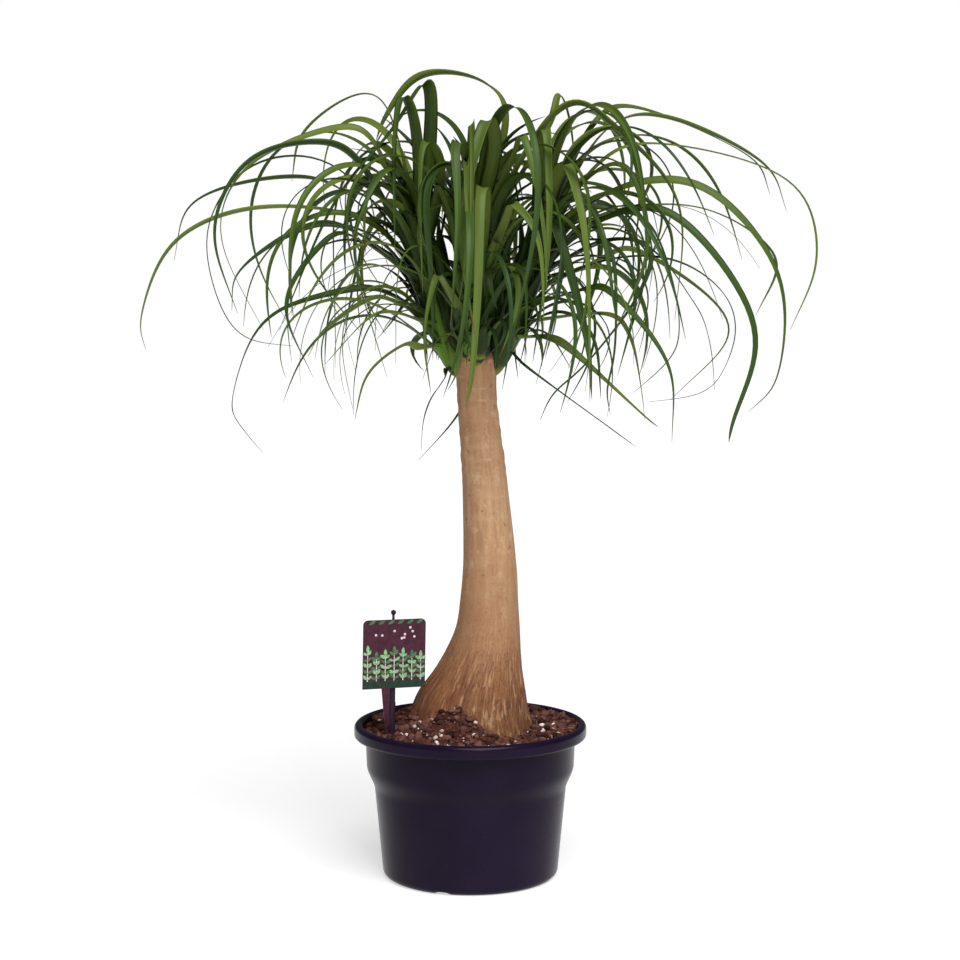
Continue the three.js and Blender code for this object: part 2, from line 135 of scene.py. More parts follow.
# The leaves that give the crown its outline: part of the stem where the root sits, width, how far the tip
# ends behind (+) or before (-) the root, roll, places [x, z] passed on the plane of the trunk
OUTLINE = {
    "head_left": [
        (0.95, 13, -80, 10, [(-56, 765), (-69, 800), (-76, 745), (-76, 640)]),
        (0.9, 11, -100, -10, [(-30, 725), (-45, 755), (-51, 718), (-48, 600)]),
        (0.8, 8, 30, 35, [(-100, 680), (-215, 690), (-300, 655), (-334, 580), (-330, 545)]),
        (0.9, 8, 50, 40, [(-76, 775), (-110, 803), (-168, 765), (-180, 715)]),
        (0.8, 12, -50, 45, [(-105, 735), (-155, 755), (-225, 735), (-260, 665), (-236, 582)]),
        (0.85, 10, 10, -40, [(-90, 755), (-140, 768), (-225, 730), (-254, 660), (-210, 565)]),
        (0.75, 7, 90, 35, [(-120, 705), (-190, 720), (-280, 695), (-300, 635)]),
        (0.45, 9, -20, -40, [(-82, 608), (-130, 605), (-210, 575), (-243, 495), (-235, 468)]),
        (0.4, 11, -70, 45, [(-70, 594), (-100, 597), (-148, 565), (-165, 538)]),
        (0.2, 12, -40, 50, [(-45, 548), (-66, 550), (-104, 520), (-118, 473)]),
        (0.7, 9, -60, -45, [(-110, 660), (-146, 655), (-188, 592), (-160, 517)]),
        (0.75, 9, 30, 50, [(-120, 670), (-172, 667), (-234, 625), (-242, 585)]),
        (0.35, 8, -90, 40, [(-76, 584), (-106, 574), (-148, 530)]),
        (0.95, 14, -70, 30, [(-40, 812), (-78, 765), (-138, 692), (-194, 565)]),
    ],
    "head_front": [
        (0.95, 15, -120, 5, [(25, 745), (16, 778), (-4, 705), (-8, 640), (5, 560)]),
        (0.85, 14, -140, -8, [(-1, 735), (-15, 752), (-12, 680), (-20, 565)]),
        (0.9, 12, -110, 12, [(42, 740), (54, 757), (74, 670), (78, 600)]),
        (0.6, 12, -120, 20, [(34, 678), (44, 692), (70, 655), (75, 570)]),
        (0.5, 14, -130, -5, [(15, 693), (10, 706), (8, 615), (2, 520), (-5, 487)]),
        (0.95, 14, -60, -30, [(88, 790), (152, 762), (212, 690), (208, 575)]),
        (0.3, 11, -110, 10, [(-22, 610), (-34, 618), (-46, 560), (-40, 500)]),
    ],
    "head_right": [
        (0.85, 9, -30, 40, [(120, 730), (182, 755), (320, 720), (352, 640), (325, 565)]),
        (0.9, 7, 60, -35, [(130, 765), (195, 781), (295, 735), (320, 685)]),
        (0.95, 7, 110, 35, [(120, 770), (166, 790), (280, 742), (303, 702)]),
        (0.75, 11, -70, 45, [(130, 705), (230, 714), (312, 625), (314, 520), (284, 482)]),
        (0.7, 9, 20, -40, [(130, 684), (232, 690), (310, 640), (290, 580)]),
        (0.65, 13, -100, 40, [(126, 678), (204, 684), (290, 572), (268, 475), (264, 450)]),
        (0.5, 8, 40, -45, [(125, 638), (172, 645), (266, 570), (204, 494)]),
        (0.4, 10, -60, 45, [(110, 608), (144, 602), (202, 530), (206, 450)]),
        (0.8, 13, -90, 25, [(115, 718), (158, 728), (180, 648), (148, 565)]),
        (0.7, 11, -40, -30, [(120, 696), (142, 694), (176, 625), (158, 548)]),
        (0.55, 15, -110, 12, [(74, 673), (88, 664), (118, 560), (124, 494)]),
        (0.75, 16, -140, -12, [(85, 716), (100, 728), (118, 645), (122, 492)]),
        (0.85, 13, -110, 8, [(72, 745), (78, 763), (80, 660), (70, 568)]),
        (0.2, 10, -50, 45, [(80, 558), (114, 534), (174, 480), (192, 466)]),
        (0.3, 8, -30, -40, [(130, 584), (160, 560), (174, 505), (178, 474)]),
    ],
    "head_back": [
        (0.95, 14, 40, 35, [(40, 775), (14, 815), (-50, 822), (-84, 782), (-95, 755)]),
        (0.9, 10, 60, 15, [(74, 765), (88, 802), (100, 775), (107, 722)]),
    ],
}

# Narrow leaves, in the same form, that only the looks have
THREADS = {
    "head_left": [
        (0.9, 3.5, 30, 25, [(-130, 735), (-215, 735), (-262, 680), (-263, 620), (-236, 560), (-181, 549)]),
        (0.45, 3, -20, 20, [(-82, 608), (-130, 605), (-210, 575), (-243, 495), (-233, 466), (-212, 440)]),
        (0.02, 3.5, -30, 30, [(-22, 517), (-39, 495), (-48, 470), (-50, 443)]),
        (0.05, 3.5, 70, 30, [(-5, 500), (-16, 474), (-53, 432)]),
    ],
    "head_right": [
        (0.5, 4, 40, 20,
         [(125, 640), (200, 640), (253, 607), (269, 570), (262, 534), (240, 501), (182, 492)]),
        (0.6, 4.5, 30, 25, [(125, 660), (180, 650), (223, 597), (238, 572), (246, 539), (249, 504)]),
        (0.7, 4.5, -50, 25, [(120, 680), (175, 680), (205, 610), (212, 560), (200, 532), (166, 501)]),
        (0.1, 3.5, -40, 25, [(60, 524), (133, 472), (169, 446)]),
        (0.6, 5.5, -80, 30, [(100, 680), (138, 650), (146, 600), (146, 540), (139, 505), (143, 479)]),
        (0.6, 6, -60, 35, [(130, 660), (180, 650), (169, 604), (145, 566), (112, 525), (84, 501), (71, 472)]),
    ],
}

# Label
CARD = dict(width=66.5, height=70.5, corner=5, thick=0.8, bottom=204.3)
TAIL = dict(x=-8.5, width=9, tip=-6, sunk=12)
STAKE = dict(x=-81, y=-40, radius=3.6, neck=1.3, ball=2.7, bottom=104, top=284, tilt=1.1, turn=20)
CARD_GAP = 0.3       # from the stake to the card's back
MARGIN = 0.6         # of the card round its print
STRIP_TOP = 8        # of the printed strip, above the card's lower edge
SPRIGS = 7
LEAF_PAIRS = 5       # on each sprig
BUDS = 9
PRINTS = {           # two tints and the scale of their mottling
    "plum": ((0.04, 0.009, 0.018), (0.065, 0.016, 0.032), 180),
    "strip": ((0.008, 0.025, 0.014), (0.02, 0.045, 0.028), 260),
    "light": ((0.13, 0.3, 0.13), (0.28, 0.5, 0.26), 400),
    "deep": ((0.035, 0.09, 0.04), (0.08, 0.2, 0.09), 400),
    "pale": ((0.55, 0.4, 0.42), (0.78, 0.66, 0.68), 400),
}


# ---- small helpers

def mix(a, b, t):
    return a + (b - a) * t


def unit(v):
    return v / max(np.linalg.norm(v), 1e-9)


def smoothstep(x, low, high):
    t = np.clip((x - low) / (high - low), 0, 1)
    return t * t * (3 - 2 * t)


def turned(v, axis, angle):
    """v turned about a unit axis."""
    c, s = math.cos(angle), math.sin(angle)
    return v * c + np.cross(axis, v) * s + axis * np.dot(axis, v) * (1 - c)


def bearings(count):
    """Evenly spaced angles once round, in radians."""
    return np.arange(count) * 2 * math.pi / count


def filled(*arrays):
    """The arrays stretched to one shape and stacked along a last axis."""
    return np.stack(np.broadcast_arrays(*arrays), axis=-1)


class Draws:
    """Repeatable random draws, the same as in the part's source."""

    MULTIPLIER, MODULUS, SEED_STEP = 48271, 2147483647, 7919

    def __init__(self, seed):
        self.state = seed * self.SEED_STEP

    def __call__(self, low, high):
        self.state = (self.state * self.MULTIPLIER) % self.MODULUS
        return mix(low, high, self.state / self.MODULUS)


def catmull_rom(points, samples):
    """A smooth curve through the points, with its ends continued straight."""
    p = [2 * points[0] - points[1], *points, 2 * points[-1] - points[-2]]
    spans = len(p) - 3
    out = []
    for k in range(samples + 1):
        g = min(k / samples * spans, spans - 1e-9)
        i = int(g)
        t = g - i
        a, b, c, d = p[i:i + 4]
        out.append(0.5 * (2 * b + (c - a) * t + (2 * a - 5 * b + 4 * c - d) * t * t
                          + (3 * b - a - 3 * c + d) * t ** 3))
    return np.array(out)


class Lattice:
    """Smooth seeded noise in three dimensions, from -1 to 1, for moving vertices."""

    CELLS = 32

    def __init__(self, seed):
        self.values = np.random.RandomState(seed).rand(self.CELLS, self.CELLS, self.CELLS)

    def __call__(self, p, size):
        q = np.asarray(p, float) / size
        low = np.floor(q).astype(int)
        f = q - low
        f = f * f * (3 - 2 * f)
        total = 0
        for corner in np.ndindex(2, 2, 2):
            near = np.where(corner, f, 1 - f)
            x, y, z = np.moveaxis((low + corner) % self.CELLS, -1, 0)
            total = total + near[..., 0] * near[..., 1] * near[..., 2] * self.values[x, y, z]
        return total * 2 - 1


NOISE = Lattice(5)


class Soup:
    """Vertices and faces gathered into one piece, with a colour cue and a UV for each vertex."""

    def __init__(self):
        self.verts, self.faces, self.cues, self.uvs = [], [], [], []
        self.count = 0

    def add(self, verts, faces, cue=(0, 0, 0, 1), uv=(0, 0)):
        verts = np.reshape(verts, (-1, 3))
        self.verts.append(verts)
        self.cues.append(np.broadcast_to(np.reshape(cue, (-1, 4)), (len(verts), 4)))
        self.uvs.append(np.broadcast_to(np.reshape(uv, (-1, 2)), (len(verts), 2)))
        self.faces.extend([[self.count + i for i in face] for face in faces])
        self.count += len(verts)

    def build(self, name, material, smooth=True):
        return make_object(name, np.vstack(self.verts), self.faces, material, smooth,
                           np.vstack(self.cues), np.vstack(self.uvs))


def make_object(name, verts, faces, material, smooth=True, cues=None, uvs=None):
    mesh = bpy.data.meshes.new(name)
    mesh.from_pydata((np.asarray(verts) * MM).tolist(), [], faces)
    mesh.validate()
    if cues is not None:
        colour_vertices(mesh, "cue", cues)
    if uvs is not None:
        corners = np.empty(len(mesh.loops), int)
        mesh.loops.foreach_get("vertex_index", corners)
        mesh.uv_layers.new(name="UVMap").data.foreach_set("uv", np.asarray(uvs)[corners].ravel())
    mesh.polygons.foreach_set("use_smooth", [smooth] * len(mesh.polygons))
    mesh.materials.append(material)
    return in_scene(name, mesh)


def in_scene(name, data):
    obj = bpy.data.objects.new(name, data)
    bpy.context.scene.collection.objects.link(obj)
    return obj


def colour_vertices(mesh, name, colours):
    layer = mesh.color_attributes.new(name, "FLOAT_COLOR", "POINT")
    layer.data.foreach_set("color", np.asarray(colours, float).ravel())


def grid_faces(rows, columns):
    """Quads of an open tube of rows by columns."""
    faces = []
    for i in range(rows - 1):
        for j in range(columns):
            k = (j + 1) % columns
            faces.append([i * columns + j, i * columns + k, (i + 1) * columns + k, (i + 1) * columns + j])
    return faces


def tube_faces(rows, columns):
    """Faces of a tube of rows by columns with both ends closed."""
    last = (rows - 1) * columns
    return grid_faces(rows, columns) + [list(range(columns))[::-1], list(range(last, last + columns))]


def lathe(profile, sides):
    """Vertices and faces of a closed solid turned from a profile that starts and ends on the axis."""
    rings = np.array(profile[1:-1])
    turn = bearings(sides)
    verts = filled(rings[:, :1] * np.cos(turn), rings[:, :1] * np.sin(turn), rings[:, 1:]).reshape(-1, 3)
    faces = grid_faces(len(rings), sides)
    low, high = len(verts), len(verts) + 1
    verts = np.vstack([verts, [[0, 0, profile[0][1]], [0, 0, profile[-1][1]]]])
    last = (len(rings) - 1) * sides
    for j in range(sides):
        k = (j + 1) % sides
        faces.append([low, k, j])
        faces.append([high, last + j, last + k])
    return verts, faces


def arc(cx, cz, radius, start, end, count):
    """Points on a circle, from start to end in degrees."""
    return [(cx + radius * math.cos(a), cz + radius * math.sin(a))
            for a in np.radians(np.linspace(start, end, count))]


# ---- materials

class Shader:
    """A node material on one Principled shader, with short calls for the nodes that feed it."""

    def __init__(self, name, roughness, specular):
        self.material = bpy.data.materials.new(name)
        self.material.use_nodes = True
        self.tree = self.material.node_tree
        self.principled = self.tree.nodes["Principled BSDF"]
        self.principled.inputs["Roughness"].default_value = roughness
        self.principled.inputs["Specular IOR Level"].default_value = specular

    def node(self, kind, **values):
        node = self.tree.nodes.new(kind)
        for key, value in values.items():
            if key in node.inputs:
                self.feed(node.inputs[key], value)
            else:
                setattr(node, key, value)
        return node

    def feed(self, socket, value):
        if isinstance(value, bpy.types.NodeSocket):
            self.tree.links.new(value, socket)
        else:
            socket.default_value = value

    def place(self):
        return self.node("ShaderNodeTexCoord").outputs["Object"]

    def uv(self):
        return self.node("ShaderNodeUVMap", uv_map="UVMap").outputs["UV"]

    def attribute(self, name, output):
        return self.node("ShaderNodeAttribute", attribute_name=name).outputs[output]

    def cue(self):
        """The colour cue's red, green and blue."""
        return self.node("ShaderNodeSeparateColor", Color=self.attribute("cue", "Color")).outputs

    def scaled(self, vector, *scale):
        return self.node("ShaderNodeMapping", Vector=vector, Scale=scale).outputs["Vector"]

    def noise(self, vector, scale, detail=4, rough=0.55):
        node = self.node("ShaderNodeTexNoise", Vector=vector, Scale=scale, Detail=detail, Roughness=rough)
        return node.outputs["Fac"]

    def span(self, value, low, high, to_low=0, to_high=1):
        ends = {"From Min": low, "From Max": high, "To Min": to_low, "To Max": to_high}
        return self.node("ShaderNodeMapRange", Value=value, **ends).outputs["Result"]

    def math(self, operation, a, b=0):
        node = self.node("ShaderNodeMath", operation=operation)
        self.feed(node.inputs[0], a)
        self.feed(node.inputs[1], b)
        return node.outputs[0]

    def blend(self, factor, a, b):
        node = self.node("ShaderNodeMix", data_type="RGBA")
        self.feed(node.inputs[0], factor)
        for socket, colour in ((node.inputs[6], a), (node.inputs[7], b)):
            self.feed(socket, colour if isinstance(colour, bpy.types.NodeSocket) else (*colour, 1))
        return node.outputs[2]

    def ramp(self, source, low, high, a, b):
        """Colour a where the source is low, b where it is high."""
        return self.blend(self.span(source, low, high), a, b)

    def layered(self, colour, *layers):
        """The colour under layers of (source, low, high, amount, tint), full where the source is high."""
        for source, low, high, amount, tint in layers:
            colour = self.blend(self.span(source, low, high, 0, amount), colour, tint)
        return colour

    def bump(self, height, distance, strength):
        node = self.node("ShaderNodeBump", Height=height, Strength=strength, Distance=distance)
        self.feed(self.principled.inputs["Normal"], node.outputs["Normal"])

    def colour(self, value):
        self.feed(self.principled.inputs["Base Color"], value)

    def roughness(self, value):
        self.feed(self.principled.inputs["Roughness"], value)


def leaf_material():
    """Leaf: cue red is its own tone, green how far along it (below 0 on the sheath), blue how dry, alpha how
    far it hangs over."""
    s = Shader("leaf", 0.42, 0.17)
    cue = s.cue()
    tone, along, dry = cue["Red"], cue["Green"], cue["Blue"]
    hang = s.attribute("cue", "Alpha")
    uv = s.uv()
    patch = s.noise(s.scaled(uv, 0.6, 0.5, 1), 1, 3)
    lines = s.noise(s.scaled(uv, 16, 0.12, 1), 1, 2, 0.6)
    tone_here = s.math("ADD", tone, s.span(patch, 0.3, 0.7, -0.2, 0.2))
    fresh = s.math("MULTIPLY", s.span(along, 0, 0.16, 0.85, 0), s.span(tone, 0.35, 0.8))
    green = s.ramp(tone_here, 0, 0.6, (0.007, 0.024, 0.002), (0.036, 0.07, 0.006))
    green = s.ramp(tone_here, 0.5, 1, green, (0.15, 0.2, 0.028))
    green = s.blend(s.math("MULTIPLY", hang, 0.35), green, (0.028, 0.075, 0.02))
    green = s.layered(green, (along, 0.35, 0, 0.75, (0.004, 0.012, 0.001)))  # painted shade of the sheaf's dark inside, darker towards the blade's base
    green = s.blend(fresh, green, (0.085, 0.2, 0.006))
    green = s.layered(green, (along, -0.6, -0.95, 0.8, (0.2, 0.23, 0.022)),
                      (lines, 0.35, 0.7, 0.25, (0.09, 0.13, 0.03)))
    brown = s.math("ADD", dry, s.span(patch, 0.3, 0.7, -0.15, 0.15))
    s.colour(s.ramp(brown, 0.45, 0.8, green, (0.13, 0.065, 0.028)))
    s.roughness(s.span(patch, 0.3, 0.7, 0.34, 0.5))
    s.bump(lines, 0.00025, 0.5)
    return s.material


def bark_material():
    """Trunk: smooth tan above, brown with light streaks at the swollen base. Cue red is cracks and the top's
    fringe, green how swollen it is, blue pale scars, alpha painted shade on the left side. Fibres follow
    flow: the bearing's cosine and sine, and the height in metres."""
    s = Shader("bark", 0.75, 0.25)
    cue = s.cue()
    crack, low, scar = cue["Red"], cue["Green"], cue["Blue"]
    painted_shade_side = s.attribute("cue", "Alpha")
    flow = s.attribute("flow", "Vector")
    height = s.node("ShaderNodeSeparateXYZ", Vector=flow).outputs["Z"]
    place = s.place()
    mottle = s.noise(place, 26, 4)
    spots = s.noise(place, 95, 3)
    grain = s.noise(place, 420, 4, 0.65)
    streaks = s.noise(s.scaled(flow, 15, 15, 55), 1, 2.5, 0.55)
    fibres = s.noise(s.scaled(flow, 26, 26, 75), 1, 3, 0.6)
    long_fibres = s.noise(s.scaled(flow, 5, 5, 24), 1, 4, 0.6)
    flakes = s.noise(s.scaled(place, 1, 1, 0.7), 85, 5, 0.65)
    bands = s.noise(s.scaled(place, 0.25, 0.25, 1), 120, 3, 0.55)
    upper = s.layered(
        s.ramp(long_fibres, 0.3, 0.7, (0.325, 0.175, 0.09), (0.47, 0.285, 0.15)),
        (bands, 0.5, 0.75, 0.35, (0.52, 0.36, 0.21)),
        (mottle, 0.48, 0.7, 0.5, (0.3, 0.155, 0.075)),
        (fibres, 0.6, 0.8, 0.2, (0.25, 0.12, 0.055)),
        (flakes, 0.57, 0.66, 0.45, (0.6, 0.44, 0.29)),
        (flakes, 0.42, 0.34, 0.4, (0.29, 0.14, 0.07)),
        (spots, 0.655, 0.71, 0.7, (0.19, 0.065, 0.035)),
        (scar, 0, 1, 0.5, (0.62, 0.47, 0.33)),
        (grain, 0.56, 0.7, 0.4, (0.24, 0.11, 0.05)),
        (grain, 0.44, 0.3, 0.3, (0.58, 0.4, 0.24)),
        (height, 0.44, 0.53, 0.35, (0.35, 0.155, 0.075)),   # redder towards the crown
        (height, 0.37, 0.25, 0.55, (0.27, 0.12, 0.055)),    # and browner towards the flare
    )
    middle = s.layered(
        s.ramp(fibres, 0.35, 0.65, (0.2, 0.088, 0.038), (0.33, 0.17, 0.085)),
        (streaks, 0.58, 0.68, 0.5, (0.45, 0.29, 0.16)),
    )
    lower = s.layered(
        s.ramp(fibres, 0.36, 0.66, (0.1, 0.034, 0.015), (0.235, 0.1, 0.043)),
        (mottle, 0.45, 0.65, 0.6, (0.26, 0.12, 0.045)),
        (streaks, 0.55, 0.64, 0.75, (0.38, 0.22, 0.11)),
        (streaks, 0.42, 0.34, 0.6, (0.075, 0.028, 0.014)),
    )
    colour = s.ramp(low, 0.22, 0.75, s.ramp(low, 0, 0.35, upper, middle), lower)
    speckles = s.math("MULTIPLY", s.span(grain, 0.5, 0.66, 0, 0.5), s.span(low, 0, 0.3))
    s.colour(s.layered(
        s.blend(speckles, colour, (0.09, 0.034, 0.016)),
        # painted shade: the trunk's left side, away from the light, is darkened
        (painted_shade_side, 0, 1, 0.4, (0.17, 0.055, 0.02)),
        (crack, 0.2, 0.9, 0.6, (0.07, 0.028, 0.014)),
    ))
    relief = s.math("MULTIPLY", fibres, s.span(low, 0, 0.6, 0.15, 0.6))
    for source, share in ((bands, 0.15), (s.span(streaks, 0.3, 0.7), low), (flakes, 0.5), (grain, 0.3)):
        relief = s.math("ADD", relief, s.math("MULTIPLY", source, share))
    s.bump(relief, 0.0011, 0.7)
    s.roughness(s.span(mottle, 0.3, 0.7, 0.62, 0.88))
    return s.material


def moulded_material(name, dark, light):
    """Moulded plastic: satin, with faint scuffs and a greyer, dustier look in places."""
    s = Shader(name, 0.34, 0.09)
    place = s.place()
    cloud = s.noise(place, 9, 4)
    scuff = s.noise(s.scaled(place, 1, 1, 0.25), 120, 6, 0.7)
    dust = s.noise(place, 300, 4, 0.7)
    s.colour(s.layered(
        s.ramp(cloud, 0.35, 0.65, dark, light),
        (scuff, 0.62, 0.82, 0.22, (0.07, 0.06, 0.075)),
        (dust, 0.66, 0.8, 0.2, (0.14, 0.11, 0.1)),
    ))
    s.roughness(s.span(cloud, 0.3, 0.7, 0.2, 0.3))
    s.bump(s.noise(place, 60, 3), 0.0004, 0.2)
    return s.material


def soil_material():
    s = Shader("potting_mix", 0.95, 0.1)
    place = s.place()
    grain = s.noise(place, 330, 6, 0.7)
    patch = s.noise(place, 60, 4)
    s.colour(s.layered(
        s.ramp(grain, 0.35, 0.65, (0.018, 0.006, 0.004), (0.12, 0.042, 0.029)),
        (patch, 0.45, 0.65, 0.6, (0.055, 0.018, 0.013)),
    ))
    s.bump(grain, 0.002, 0.9)
    return s.material


def grain_material(name, roughness, specular, noise, dark, light, pits, relief):
    """Loose grains, each with its own tone in cue red; pits is a layer's (low, high, amount, tint)."""
    s = Shader(name, roughness, specular)
    grain = s.noise(s.place(), *noise)
    s.colour(s.layered(s.blend(s.cue()["Red"], dark, light), (grain, *pits)))
    s.bump(grain, relief, 0.8)
    return s.material


def print_material(name, dark, light, scale):
    """Printed colour with fine mottling, under a clear semi-gloss film."""
    s = Shader(name, 0.4, 0.2)
    speckle = s.noise(s.place(), scale, 4)
    s.colour(s.ramp(speckle, 0.35, 0.65, dark, light))
    s.roughness(s.span(speckle, 0.3, 0.7, 0.3, 0.42))
    return s.material


# ---- pot

def pot_profile():
    lip_low, bead = RIM_HEIGHT - LIP_DEPTH, LIP_WIDTH / 2
    body_top = BODY_HEIGHT - 3
    foot_reach = FOOT_RADIUS - FOOT_ROUND
    outer = [(0, 0), (20, 0), (foot_reach - 6, 0)]
    outer += arc(foot_reach, FOOT_ROUND, FOOT_ROUND, -90, 0, 10)
    for t in (0.35, 0.7, 1):
        outer.append((mix(FOOT_RADIUS, BODY_RADIUS, t), mix(FOOT_ROUND, body_top, t)))
    for t in np.linspace(0.06, 1, 14):  # the step, a soft S-curve
        outer.append((mix(BODY_RADIUS, STEP_RADIUS, smoothstep(t, 0, 1)), mix(body_top, STEP_HEIGHT, t)))
    outer.append((mix(STEP_RADIUS, SHOULDER_RADIUS, 0.5), mix(STEP_HEIGHT, SHOULDER_HEIGHT, 0.5)))
    outer += arc(SHOULDER_RADIUS + SHOULDER_ROUND, SHOULDER_HEIGHT - 0.8, SHOULDER_ROUND, 180, 100, 5)
    outer += arc(RIM_RADIUS - LIP_ROUND, lip_low + 2.6, LIP_ROUND, -80, 0, 8)
    outer += arc(RIM_RADIUS - bead, RIM_HEIGHT - bead, bead, 0, 165, 14)
    inner = [
        (RIM_RADIUS - LIP_WIDTH, SHOULDER_HEIGHT + 4), (SHOULDER_RADIUS - WALL, SHOULDER_HEIGHT + 1),
        (STEP_RADIUS - WALL, STEP_HEIGHT), (BODY_RADIUS - WALL, BODY_HEIGHT - WALL),
    ]
    inner += arc(foot_reach, FOOT_ROUND, FOOT_ROUND - FLOOR, 0, -90, 6)
    return outer + inner + [(0, FLOOR)]


def build_pot(material):
    verts, faces = lathe(pot_profile(), POT_SIDES)
    x, y, z = verts.T
    turn, reach, low = np.arctan2(y, x), np.hypot(x, y), z < FOOT_ROUND - 0.1
    # The foot's edge is drawn up a little at each notch
    for bearing in math.radians(NOTCHES["bearing"]) + bearings(NOTCHES["count"]):
        off = np.angle(np.exp(1j * (turn - bearing)))
        inside = np.exp(-(off * FOOT_RADIUS / NOTCHES["half_width"]) ** 4) * smoothstep(reach, 78, 84)
        z += inside * low * np.maximum(0, NOTCHES["height"] - z)
    piece = make_object("pot_shell", verts, faces, material)
    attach(piece, "root")
    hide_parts("pot")


# ---- potting mix

def heaped(height, x, y, heaps):
    for (cx, cy), tall, spread in heaps:
        height = height + tall * np.exp(-((x - cx) ** 2 + (y - cy) ** 2) / (2 * spread ** 2))
    return height


def soil_height(x, y):
    height = SOIL_LEVEL + SOIL_SLOPE * x
    height = height + 1.1 * (np.sin(x * 0.31 + 2 * np.sin(y * 0.17)) + np.sin(y * 0.37 + x * 0.13))
    return heaped(height, x, y, HEAPS)


def loose_height(x, y):
    """The mix with the loose crumbs that lie heaped on it against the trunk."""
    return heaped(soil_height(x, y) + 0.012 * y, x, y, LOOSE_HEAPS)


def rough_soil(x, y):
    p = filled(x, y, 0)
    return loose_height(x, y) + 1.6 * NOISE(p, 7) + 1.1 * NOISE(p + 50, 3.1) + 0.5 * NOISE(p + 90, 1.4)


def build_soil(material):
    turn = bearings(SOIL_SIDES)
    reach = np.linspace(4, RIM_RADIUS - LIP_WIDTH - 0.4, SOIL_RINGS)[:, None]
    x, y = reach * np.cos(turn), reach * np.sin(turn)
    rings = list(filled(x, y, rough_soil(x, y)))
    inset = WALL + SOIL_GAP
    for radius, height in (
        (SHOULDER_RADIUS - inset, SHOULDER_HEIGHT - 1.5), (STEP_RADIUS - inset, STEP_HEIGHT),
        (BODY_RADIUS - inset, BODY_HEIGHT - WALL), (FOOT_RADIUS - FLOOR - 1, FOOT_ROUND + 2),
        (70, FLOOR + 0.4),
    ):
        rings.append(filled(radius * np.cos(turn), radius * np.sin(turn), height))
    faces = [face[::-1] for face in tube_faces(len(rings), SOIL_SIDES)]
    piece = make_object("soil_bed", np.reshape(rings, (-1, 3)), faces, material)
    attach(piece, "root")
    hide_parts("potting_mix")


def pebble():
    """A unit ball of 80 triangles."""
    ball = bmesh.new()
    bmesh.ops.create_icosphere(ball, subdivisions=2, radius=1)
    verts = np.array([v.co[:] for v in ball.verts])
    faces = [[v.index for v in face.verts] for face in ball.faces]
    ball.free()
    return verts, faces


def scatter_grains(name, count, sizes, seed, material, flat, to_front=0):
    """Small rough grains on the mix, clear of the trunk; to_front is the share left out at the back."""
    random = np.random.RandomState(seed)
    ball, faces = pebble()
    soup = Soup()
    while soup.count < count * len(ball):
        angle = random.rand() * 2 * math.pi
        reach = math.sqrt(random.rand()) * GRAIN_REACH
        x, y = reach * math.cos(angle), reach * math.sin(angle)
        size = mix(*sizes, random.rand() ** 2)
        if random.rand() < to_front * smoothstep(y, -60, 20):
            continue
        z = loose_height(x, y)
        shape = ball * (1 + 0.34 * NOISE(ball * 3 + random.rand(3) * 40, 1.4)[:, None])
        shape = shape * size * [1, mix(0.6, 1, random.rand()), mix(flat, 1, random.rand())]
        spin = random.rand() * math.pi
        c, s = math.cos(spin), math.sin(spin)
        a, b, up = shape.T
        shape = filled(a * c - b * s, a * s + b * c, up)
        tone = random.rand()
        shift, radius = trunk_at(z)
        if math.hypot(x - shift, y) < radius - 1:
            continue
        soup.add(shape + [x, y, z + size * 0.3], faces, (tone, 0, 0, 1))
    piece = soup.build(name, material)
    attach(piece, "root")


# ---- trunk

TRUNK_CURVE = catmull_rom(list(TRUNK), 600)


def trunk_at(height):
    """(shift, radius) of the trunk at a height."""
    heights = TRUNK_CURVE[:, 0]
    return np.interp(height, heights, TRUNK_CURVE[:, 1]), np.interp(height, heights, TRUNK_CURVE[:, 2])


